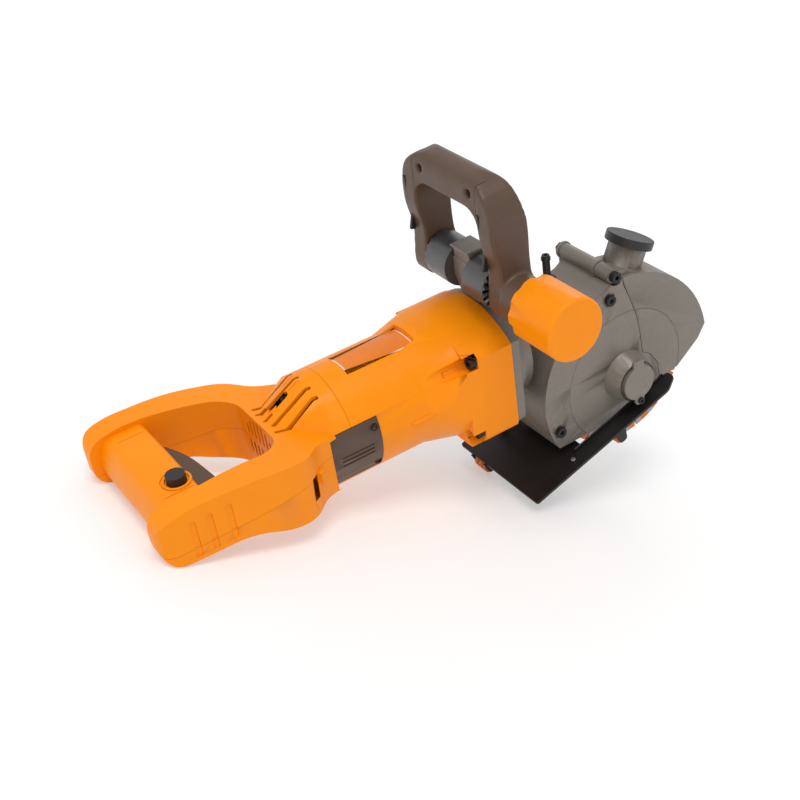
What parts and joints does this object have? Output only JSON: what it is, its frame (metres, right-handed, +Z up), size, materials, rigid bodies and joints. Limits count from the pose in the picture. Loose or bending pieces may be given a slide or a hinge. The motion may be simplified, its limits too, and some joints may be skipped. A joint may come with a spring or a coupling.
{
  "type": "wall chaser",
  "caption": "Hand-held corded wall chaser with a stack of parallel diamond discs under a hinged guard, a rear D-handle, a tilting front handle and a tilting roller base.",
  "frame": {"origin": "bottom centre of the whole machine's bounding box, on the floor it is put down on", "axes": "+X along the floor from the rear handle towards the discs, +Y to the machine's left, +Z up from the floor"},
  "size_m": [0.5312, 0.214, 0.2946],
  "materials": {
    "orange_plastic": "orange moulded nylon with a fine texture and a low sheen",
    "dark_plastic": "dark brown moulded nylon, satin",
    "black_plastic": "black moulded plastic",
    "grey_casting": "warm grey metallic paint on a die casting, satin",
    "toothed_metal": "dark grey satin",
    "black_steel": "black finish on steel",
    "steel": "turned steel",
    "lamination": "varnished laminations",
    "copper": "turned copper",
    "carbon": "pressed carbon",
    "disc_paint": "orange paint on a steel disc with grey diamond segments",
    "roller_plastic": "orange moulded plastic"
  },
  "bodies": {
    "machine": {"motor_housing": "orange_plastic", "flange_screw_1": "black_steel", "flange_screw_2": "black_steel", "flange_screw_3": "black_steel", "flange_screw_4": "black_steel", "brush_cover_right": "dark_plastic", "brush_cover_left": "dark_plastic", "stator": "lamination", "rear_bearing": "steel", "front_bearing": "steel", "carbon_brush_left": "carbon", "carbon_brush_right": "carbon", "handle_upper_shell": "orange_plastic", "handle_lower_shell": "orange_plastic", "switch_body": "black_plastic", "gear_case": "grey_casting", "gear_case_cover": "grey_casting", "spindle_bearing_outer": "steel", "guard_body": "grey_casting", "guard_side_cover": "grey_casting", "hinge_bolt": "black_steel", "guard_screw_1": "black_steel", "guard_screw_2": "black_steel", "water_elbow": "black_plastic", "hub_cap": "grey_casting", "base_pivot_bolt": "black_steel", "handle_bracket": "grey_casting", "handle_bolt": "steel"},
    "spindle_set": {"spindle": "steel", "spur_gear": "steel", "disc_1": "disc_paint", "disc_2": "disc_paint", "disc_3": "disc_paint", "disc_4": "disc_paint", "disc_5": "disc_paint", "inner_flange": "steel", "clamping_nut": "steel"},
    "idler": {"idler_gear": "steel"},
    "intermediate": {"intermediate_shaft": "steel", "bevel_gear": "steel", "spur_pinion": "steel"},
    "armature": {"armature_shaft": "steel", "armature_core": "lamination", "commutator": "copper", "cooling_fan": "black_plastic", "bevel_pinion": "steel"},
    "trigger": {"trigger": "dark_plastic"},
    "lock_button": {"lock_button": "black_plastic"},
    "front_guard": {"front_guard": "grey_casting"},
    "port_cap": {"dust_port_cap": "black_plastic"},
    "base": {"base_plate": "black_steel"},
    "roller_rear": {"roller_rear": "roller_plastic"},
    "roller_front_right": {"roller_front_right": "roller_plastic"},
    "roller_front_left": {"roller_front_left": "roller_plastic"},
    "front_handle": {"front_handle": "dark_plastic", "front_handle_cover": "dark_plastic", "toothed_ring_left": "toothed_metal", "toothed_ring_right": "toothed_metal"},
    "knob": {"adjusting_knob": "orange_plastic"}
  },
  "joints": [
    {"name": "spindle_spin", "type": "hinge", "parent": "machine", "child": "spindle_set", "pos_m": [0.18093, 0.029, 0.12059], "axis": [0, 1, 0], "continuous": true},
    {"name": "idler_spin", "type": "hinge", "parent": "machine", "child": "idler", "pos_m": [0.13992, 0.051, 0.13276], "axis": [0, 1, 0], "continuous": true},
    {"name": "intermediate_spin", "type": "hinge", "parent": "machine", "child": "intermediate", "pos_m": [0.10247, 0.029, 0.14387], "axis": [0, 1, 0], "continuous": true},
    {"name": "armature_spin", "type": "hinge", "parent": "machine", "child": "armature", "pos_m": [0.05427, 0.029, 0.12437], "axis": [0.927, 0, 0.375], "continuous": true},
    {"name": "trigger_pull", "type": "hinge", "parent": "machine", "child": "trigger", "pos_m": [-0.21797, 0.067, 0.02935], "axis": [0.375, 0, -0.927], "range_deg": [0, 8], "stiffness_Nm_per_rad": 0.6, "springref_deg": -2.86},
    {"name": "button_press", "type": "slide", "parent": "machine", "child": "lock_button", "axis": [0.375, 0, -0.927], "range_m": [0, 0.0025], "stiffness_N_per_m": 400, "springref_m": -0.001},
    {"name": "front_guard_swing", "type": "hinge", "parent": "machine", "child": "front_guard", "pos_m": [0.13842, 0.029, 0.21234], "axis": [0, -1, 0], "range_deg": [0, 75]},
    {"name": "port_cap_pull", "type": "slide", "parent": "front_guard", "child": "port_cap", "axis": [0.0694, 0, 0.9976], "range_m": [0, 0.03]},
    {"name": "base_tilt", "type": "hinge", "parent": "machine", "child": "base", "pos_m": [0.21807, 0.029, 0.11943], "axis": [0, -1, 0], "range_deg": [0, 12]},
    {"name": "roller_rear_spin", "type": "hinge", "parent": "base", "child": "roller_rear", "pos_m": [0.10273, 0.029, 0.00652], "axis": [0, 1, 0], "continuous": true},
    {"name": "roller_front_right_spin", "type": "hinge", "parent": "base", "child": "roller_front_right", "pos_m": [0.17786, -0.0474, 0.0674], "axis": [0, 1, 0], "continuous": true},
    {"name": "roller_front_left_spin", "type": "hinge", "parent": "base", "child": "roller_front_left", "pos_m": [0.17786, 0.043, 0.0674], "axis": [0, 1, 0], "continuous": true},
    {"name": "handle_tilt", "type": "hinge", "parent": "machine", "child": "front_handle", "pos_m": [0.02983, 0.029, 0.20078], "axis": [0, 1, 0], "range_deg": [-40, 40]},
    {"name": "knob_turn", "type": "hinge", "parent": "machine", "child": "knob", "pos_m": [0.02983, 0.029, 0.20078], "axis": [0, 1, 0], "range_deg": [0, 360]}
  ],
  "couplings": [
    {"joint": "idler_spin", "follows": "spindle_spin", "ratio": -0.91667},
    {"joint": "intermediate_spin", "follows": "spindle_spin", "ratio": 1.2222},
    {"joint": "armature_spin", "follows": "spindle_spin", "ratio": 3.4222}
  ]
}
